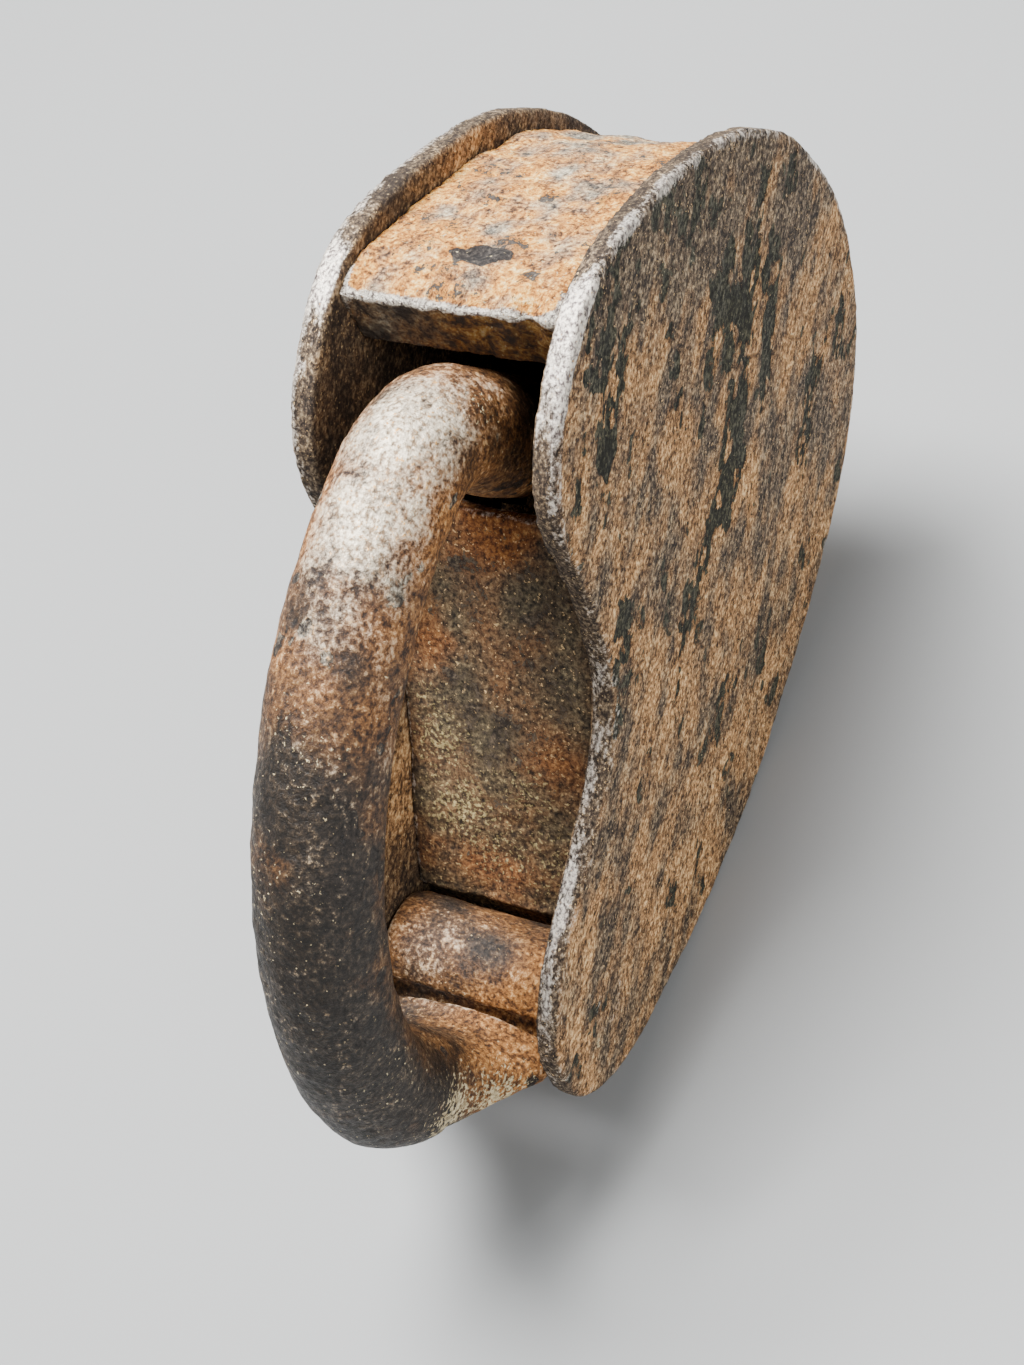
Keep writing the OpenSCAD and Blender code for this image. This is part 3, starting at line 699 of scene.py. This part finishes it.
shackleLook = {
    "voxel": 0.36, "rounding": 4, "barRadius": 5.9, "barSides": 40,
    "barStart": 0.985, "barSwell": 0.05, "swellFrom": 0.72,      # thicker toward the heel
    "toeX": 55.7, "toeFrom": 22.0,
    "toeJoin": 1.5, "toeSide": 20,                  # what is kept of the frame's own toe
    "toeCentre": (45.7, 28.6), "toeBend": 10.0, "toeTurn": 60.6,
    "bowCentre": (29.0, -1.0), "bowBend": 44.0, "heelTurn": 140.2,
    "heelCentre": (7.5, 16.9), "heelBend": 16.0, "heelPast": 8,
    # the neck: where it widens and flattens, in degrees round the heel's centre
    "neckFrom": 172.0, "neckTo": 226.0, "neckSteps": 26, "neckSides": 56,
    "widenFrom": 181, "widenOver": 33, "widenPower": 1.9, "flatFrom": 180, "flatTo": 220,
    "neckOut": 1.9, "neckSquare": 1.8,
    "neckInside": (5.8, 2.3), "neckOutside": (5.8, 4.6),   # half thickness, and its loss at the eye
    "neckCurl": (0.35, 8, 6),                       # its edges bend back: share, half width, turn
    "eyeRadius": 6.1, "eyeHalf": 10.7, "eyeSides": 96, "eyeTuck": 1.7, "pinRadius": 2.6,
    # share of the eye's half length, and share of its radius there
    "eyeRows": [(-1.0, 0.93), (-0.97, 0.985), (-0.9, 1.0), (-0.4, 1.005), (0.0, 1.01),
                (0.4, 1.005), (0.9, 1.0), (0.97, 0.985), (1.0, 0.93)],
    "swell": 0.14, "swellSize": 7, "pit": 0.1, "pitSize": 1.6, "hammer": 0.06, "hammerSize": 1.7,
    # the side of the bar where the painted highlight is strongest, between the lamp above and the
    # camera
    "highlightSide": (0.1, -0.4, 0.91),
    # where the bow is rubbed bright with a painted highlight, rusted orange, dark with scale and
    # painted shade, and crusted
    "rubbedAndHighlit": [((56, -1, 41), 9, 0.86), ((48, -2, 46), 8, 0.86), ((39, -3, 47), 6, 0.42),
               ((63, -2, 32), 7, 0.7), ((29, -6, 44), 6, 0.26), ((22, -8, 40), 4, 0.26),
               ((2, 5, 7), 6, 0.27)],
    "warm": [((64, -4, 30), 8, 0.8), ((62, 0, 24), 6, 1.0), ((48, -6, 40), 6, 0.7),
             ((0, -9, 2), 6, 0.8), ((-6, -8, 8), 7, 1.5), ((-8, -2, 8), 6, 1.0),
             ((30, -6, 42), 5, 0.35), ((38, -4, 43), 5, 0.4)],
    "sootyAndShaded": [((22, 1, 47), 9, 0.85), ((10, 0, 44), 12, 1.0), ((0, 0, 38), 14, 1.1),
              ((-12, 0, 24), 12, 1.1), ((-9, 5, 13), 7, 0.9), ((60, -6, 21), 6, 1.0),
              ((3, 4, 6), 6, 0.35)],
    "crust": [((-10, -6, 17), 4, 0.8), ((-10, -8, 11), 4, 0.75), ((28, -1, 49), 5, 0.18),
              ((14, 3, 46), 6, 0.18), ((58, -4, 34), 5, 0.25), ((0, 4, 36), 6, 0.15),
              ((-4, -5, 30), 5, 0.17), ((-9, 6, 22), 7, 0.2)],
    "iron": {
        "followBar": True, "depth": 0.22, "stretch": (0.95, 0.9, 0.9), "fine": 2.0,
        "middle": 0.4, "fineShare": 0.78, "zoneFray": 1.2,
        "cold": [(0.37, (20, 16, 14)), (0.45, (34, 28, 23)), (0.52, (50, 41, 33)),
                 (0.58, (72, 60, 48)), (0.66, (124, 108, 86))],
        "warm": [(0.37, (48, 30, 18)), (0.45, (100, 64, 34)), (0.51, (140, 92, 48)),
                 (0.57, (172, 120, 66)), (0.65, (212, 164, 102))],
        "black": [(0.38, (22, 18, 15)), (0.5, (38, 31, 26)), (0.62, (62, 52, 43))],
        "dirt": (20, 17, 14), "metal": [(0.36, (138, 118, 94)), (0.58, (238, 224, 199))],
        "goldAt": (0.6, 0.65), "gold": (206, 156, 92), "fleckAt": (0.69, 0.75),
        "roughest": 0.62, "smoothest": 0.4, "sheen": 0.3, "middleRelief": 1.3, "bump": 1.0,
        "wearFray": 1.5, "wornAt": (0.2, 1.0), "bareMetal": 0.4, "wornGloss": 0.8}}


def around(centre, radius, angle):
    turn = radians(angle)
    return np.array([centre[0] + radius * cos(turn), centre[1] + radius * sin(turn)])


# one bend of the bar's middle line, as (place, direction toward the outside of the bow)
def bend(centre, radius, fromTurn, toTurn, steps, count):
    angles = [fromTurn + (toTurn - fromTurn) * step / steps for step in range(count)]
    return [(around(centre, radius, angle), angle) for angle in angles]


def barLine():
    look = shackleLook
    line = []
    for step in range(8):
        low = look["toeFrom"] + (look["toeCentre"][1] - look["toeFrom"]) * step / 8
        line.append((np.array([look["toeX"], low]), 0.0))
    line += bend(look["toeCentre"], look["toeBend"], 0.0, look["toeTurn"], 16, 16)
    line += bend(look["bowCentre"], look["bowBend"], look["toeTurn"], look["heelTurn"], 60, 60)
    heelEnd = look["neckFrom"] + look["heelPast"]
    return line + bend(look["heelCentre"], look["heelBend"], look["heelTurn"], heelEnd, 18, 19)


def skinRings(bm, rings, closed=False):
    made = [[bm.verts.new(Vector(p)) for p in placed(ring)] for ring in rings]
    count = len(made[0])
    following = made[1:] + made[:1] if closed else made[1:]
    for a, b in zip(made, following):
        for i in range(count):
            j = (i + 1) % count
            bm.faces.new((a[i], a[j], b[j], b[i]))
    if not closed:
        bm.faces.new(made[0][::-1])
        bm.faces.new(made[-1])


def addBar(bm):
    look = shackleLook
    line = barLine()
    sides = look["barSides"]
    rings = []
    for step, (centre, angle) in enumerate(line):
        heel = max(0, step / (len(line) - 1) - look["swellFrom"]) / (1 - look["swellFrom"])
        radius = look["barRadius"] * (look["barStart"] + look["barSwell"] * heel)
        out = around((0, 0), 1, angle)
        ring = []
        for side in range(sides):
            turn = 2 * pi * side / sides
            off = radius * cos(turn) * out
            ring.append((centre[0] + off[0], radius * sin(turn), centre[1] + off[1]))
        rings.append(ring)
    skinRings(bm, rings)


# one ring of the neck: round inside, wide and flat outside
def neckRing(look, angle):
    widen = min(max((angle - look["widenFrom"]) / look["widenOver"], 0), 1)
    flat = float(ease(look["flatFrom"], look["flatTo"], angle))
    half = look["barRadius"] + (look["eyeHalf"] - look["barRadius"]) * widen ** look["widenPower"]
    middle = look["heelBend"] + look["neckOut"] * flat
    inside = look["neckInside"][0] - look["neckInside"][1] * flat
    outside = look["neckOutside"][0] - look["neckOutside"][1] * flat
    power = 2 / (2 + look["neckSquare"] * flat)
    curl, curlHalf, curlTurn = look["neckCurl"]
    ring = []
    for side in range(look["neckSides"]):
        turn = 2 * pi * side / look["neckSides"]
        c, s = cos(turn), sin(turn)
        if s > 0:                                   # outer side
            y = half * np.sign(c) * abs(c) ** power
            r = middle + outside * abs(s) ** power
        else:
            y = half * c
            r = middle - inside * abs(s)
        back = curl * flat * max(0, -s) * abs(y / curlHalf) ** 2
        spot = around(look["heelCentre"], r, angle - back * curlTurn)
        ring.append((spot[0], y, spot[1]))
    return ring


def addNeck(bm):
    look = shackleLook
    swing = look["neckTo"] - look["neckFrom"]
    steps = look["neckSteps"]
    skinRings(bm, [neckRing(look, look["neckFrom"] + swing * k / steps) for k in range(steps + 1)])


# the rolled eye: a tube whose free end tucks in under the neck's lip
def addEye(bm):
    look = shackleLook
    turns = [360 * k / look["eyeSides"] for k in range(look["eyeSides"])]

    def outer(turn, fat):
        tuck = ease(112, 122, turn) * (1 - ease(138, 156, turn))
        return look["eyeRadius"] * fat - look["eyeTuck"] * tuck

    def ring(y, radii):
        spots = [around((0, 0), radius, turn) for radius, turn in zip(radii, turns)]
        return [(spot[0], y, spot[1]) for spot in spots]

    bore = [look["pinRadius"]] * len(turns)
    rings = [ring(share * look["eyeHalf"], [outer(turn, fat) for turn in turns])
             for share, fat in look["eyeRows"]]
    rings += [ring(look["eyeHalf"], bore), ring(-look["eyeHalf"], bore)]
    skinRings(bm, rings, closed=True)


# the toe's end with its notch is the frame's own; the bar, the neck and the eye are drawn anew
def startShackle():
    look = shackleLook
    bm = startFrom("shackle")
    cutOff(bm, (0, 0, look["toeFrom"] + look["toeJoin"]), (0, 0, 1))
    strays = [v for v in bm.verts if drawing(np.array([v.co]))[0][0] < look["toeSide"]]
    bmesh.ops.delete(bm, geom=strays, context="VERTS")
    addBar(bm)
    addNeck(bm)
    addEye(bm)
    bmesh.ops.recalc_face_normals(bm, faces=bm.faces)
    return bm


def shackleHeight(look, spots):
    height = look["swell"] * lumps(spots, look["swellSize"], 500, 2)
    height += look["hammer"] * lumps(spots, look["hammerSize"], 510, 3, 0.6)
    pitting = 1 - ease(0.1, 0.42, scattered(spots, look["pitSize"], 520))
    height -= look["pit"] * pitting * ease(-0.5, 0.3, lumps(spots, 9, 530, 2))
    inBore = np.linalg.norm(spots[:, [0, 2]], axis=1) < look["pinRadius"] + 0.9
    height[inBore] = 0                              # the rivet turns in it
    return height


# distance along the bow, through it and out from its centre, so that the grain follows the bar
def paintBarPlace(piece, spots):
    look = shackleLook
    away = spots[:, [0, 2]] - np.array(look["bowCentre"])
    turn = np.arctan2(away[:, 0], away[:, 1])                 # 0 at the top of the bow
    barPlace = np.stack([turn * look["bowBend"], spots[:, 1], np.linalg.norm(away, axis=1)], axis=1)
    held = piece.data.attributes.new("barPlace", "FLOAT_VECTOR", "POINT")
    held.data.foreach_set("vector", barPlace.astype(np.float32).ravel())


def makeShackle():
    look = shackleLook
    piece = forge(makePiece("shackleForging", startShackle()), look)
    points, normals, edges = readSkin(piece)
    spots = drawing(points)
    ridge = proud(points, normals, edges, ridgeReach)
    press(piece, points, normals, shackleHeight(look, spots))

    rubbedAndHighlit = nearAny(spots, look["rubbedAndHighlit"])
    onEye = 1 - ease(5.5, 7.5, np.linalg.norm(spots[:, [0, 2]], axis=1))
    scale = 0.7 * ease(0.35, 0.8, lumps(spots, 3.5, 540, 3)) * (1 - onEye) * (1 - rubbedAndHighlit)
    turned = np.stack([normals @ alongLock, normals[:, 1], normals @ towardBow], axis=1)
    # bare metal rubbed bright, and a painted highlight strongest on the side toward the lamp and
    # the camera
    bright = rubbedAndHighlit * (0.5 + 0.5 * ease(0.2, 0.85, turned @ look["highlightSide"]))
    wear = np.maximum(bright, 0.55 * ease(0.1, 0.4, ridge))
    # dark scale with painted shade toward the heel, painted shade under the toe, and painted shade
    # in the creases
    sootyAndShaded = nearAny(spots, look["sootyAndShaded"])
    zone = nearAny(spots, look["warm"]) - sootyAndShaded + 0.5 * lumps(spots, 5, 560, 2)
    dirt = np.maximum(0.85 * ease(-0.06, -0.4, ridge), 0.66 * sootyAndShaded)
    paint(piece, wear=wear, scale=scale, dirt=dirt, crust=nearAny(spots, look["crust"]), zone=zone)
    paintBarPlace(piece, spots)
    shackleIron = rustIron("shackleIron", {**rustLook, **look["iron"]})
    finishPiece(piece, shackleIron, "shackle", "shackle_iron", "shackle")
    return piece


shackleForging = makeShackle()
print("shackle made:", len(shackleForging.data.vertices))

smallLook = {
    "voxel": 0.25, "rounding": 3, "ridgeReach": 10, "grain": 0.035, "grainSize": 1.2, "sunk": 1.0,
    "cover": {
        "stretch": (1, 1, 1), "cold": [
            (0.38, (26, 22, 20)), (0.46, (56, 45, 38)), (0.51, (84, 68, 56)),
            (0.57, (108, 88, 72)), (0.65, (150, 126, 104))]},
    "works": {"stretch": (1, 1, 1), "fine": 2.2, "roughest": 0.75, "smoothest": 0.45},
    "spring": {"stretch": (1, 1, 0.4), "fine": 2.6, "roughest": 0.55, "smoothest": 0.35,
               "dullMetal": 0.6}}
coverIron = rustIron("coverIron", {**rustLook, **smallLook["cover"]})
worksIron = rustIron("worksIron", {**rustLook, **smallLook["works"]})
springSteel = rustIron("springSteel", {**rustLook, **smallLook["spring"]})
plainInner = float(drawing(np.array(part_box("back_plate")))[:, 1].max())


# a rivet, pin or stud that is sunk stops inside the plain plate, which has its end
def makeSmall(name, node, body, slot, material, seed, sunk=False):
    look = smallLook
    bm = startFrom(node)
    if sunk:
        cutOff(bm, (0, plainInner - look["sunk"], 0), (0, -1, 0))
    piece = forge(makePiece(name, bm), look)
    points, normals, edges = readSkin(piece)
    spots = drawing(points)
    ridge = proud(points, normals, edges, look["ridgeReach"])
    press(piece, points, normals, look["grain"] * lumps(spots, look["grainSize"], seed, 3))
    paint(piece, wear=0.8 * ease(0.06, 0.25, ridge), zone=0.6 * lumps(spots, 4, seed + 3, 2),
          scale=0.8 * ease(0.4, 0.8, lumps(spots, 3, seed + 7, 2)))
    finishPiece(piece, material, body, slot, node)


makeSmall("keyholeCover", "keyhole_cover", "keyhole_cover", "cover_iron", coverIron, 600)
makeSmall("coverRivet", "cover_rivet", "case", "rivet_iron", coverIron, 610)
makeSmall("hingeRivet", "hinge_rivet", "case", "rivet_iron", plateIron, 620, sunk=True)
makeSmall("caseRivets", "case_rivets", "case", "rivet_iron", plateIron, 630, sunk=True)
makeSmall("keyPin", "key_pin", "case", "works_iron", worksIron, 640, sunk=True)
makeSmall("stopStud", "stop_stud", "case", "works_iron", worksIron, 650, sunk=True)
makeSmall("springStud", "spring_stud", "case", "works_iron", worksIron, 660, sunk=True)
for node in ("bolt", "toe_guide", "tail_guide", "back_ward", "front_ward", "bolt_spring"):
    skin = frame["nodes"][node].data.materials
    skin.clear()
    skin.append(springSteel if node == "bolt_spring" else worksIron)
print("small pieces made")

floorLook = {"half": 12, "colour": (0.31, 0.315, 0.315, 1), "roughness": 0.75}


def makeFloor():
    half = floorLook["half"]
    mesh = bpy.data.meshes.new("floor")
    corners = [(-half, -half, 0), (half, -half, 0), (half, half, 0), (-half, half, 0)]
    mesh.from_pydata(corners, [], [(0, 1, 2, 3)])
    floor = bpy.data.objects.new("floor", mesh)
    bpy.context.scene.collection.objects.link(floor)
    material = bpy.data.materials.new("paleFloor")
    material.use_nodes = True
    shader = material.node_tree.nodes["Principled BSDF"]
    shader.inputs["Base Color"].default_value = floorLook["colour"]
    shader.inputs["Roughness"].default_value = floorLook["roughness"]
    mesh.materials.append(material)


# the daylight falls alike on the whole floor, so that it stays pale into the distance
lightLook = {
    "above": {"at": (0.06, 0.14, 0.5), "size": 0.26, "power": 8.8},
    "fill": {"at": (-0.2, -0.5, 0.35), "size": 0.5, "power": 3.1},
    "daylight": {"at": (0.06, 0.14, 0.5), "strength": 3.0, "softness": 35},
    "aim": (0, 0, 0.04), "sky": (0.95, 0.98, 1.0, 1), "skyStrength": 0.3}


def placeLamp(name, lamp, way):
    holder = bpy.data.objects.new(name, lamp)
    holder.rotation_euler = way.to_track_quat("-Z", "Y").to_euler()
    bpy.context.scene.collection.objects.link(holder)
    return holder


def makeLights():
    for name in ("above", "fill"):
        look = lightLook[name]
        lamp = bpy.data.lights.new(name, "AREA")
        lamp.energy = look["power"]
        lamp.size = look["size"]
        holder = placeLamp(name, lamp, Vector(lightLook["aim"]) - Vector(look["at"]))
        holder.location = look["at"]
    look = lightLook["daylight"]
    lamp = bpy.data.lights.new("daylight", "SUN")
    lamp.energy = look["strength"]
    lamp.angle = radians(look["softness"])
    placeLamp("daylight", lamp, -Vector(look["at"]))
    world = bpy.data.worlds.new("studio")
    world.use_nodes = True
    sky = world.node_tree.nodes["Background"]
    sky.inputs["Color"].default_value = lightLook["sky"]
    sky.inputs["Strength"].default_value = lightLook["skyStrength"]
    bpy.context.scene.world = world


cameraLook = {"aim": (-0.00791, 0.00053, 0.0377), "azimuth": -47.8, "elevation": 52.0,
              "roll": -23.1, "distance": 0.2122, "lens": 54.07, "clipStart": 0.01}


def makeCamera():
    look = cameraLook
    azimuth, elevation, roll = (radians(look[k]) for k in ("azimuth", "elevation", "roll"))
    forward = Vector((-sin(azimuth) * cos(elevation), cos(azimuth) * cos(elevation),
                      -sin(elevation)))
    level = forward.cross(Vector((0, 0, 1))).normalized()
    upright = level.cross(forward)
    right = level * cos(roll) + upright * sin(roll)
    up = upright * cos(roll) - level * sin(roll)
    stand = Matrix((right, up, -forward)).transposed().to_4x4()
    stand.translation = Vector(look["aim"]) - forward * look["distance"]
    camera = bpy.data.cameras.new("camera")
    camera.lens = look["lens"]
    camera.clip_start = look["clipStart"]
    holder = bpy.data.objects.new("camera", camera)
    holder.matrix_world = stand
    bpy.context.scene.collection.objects.link(holder)
    bpy.context.scene.camera = holder


makeFloor()
makeLights()
makeCamera()
print("studio made")
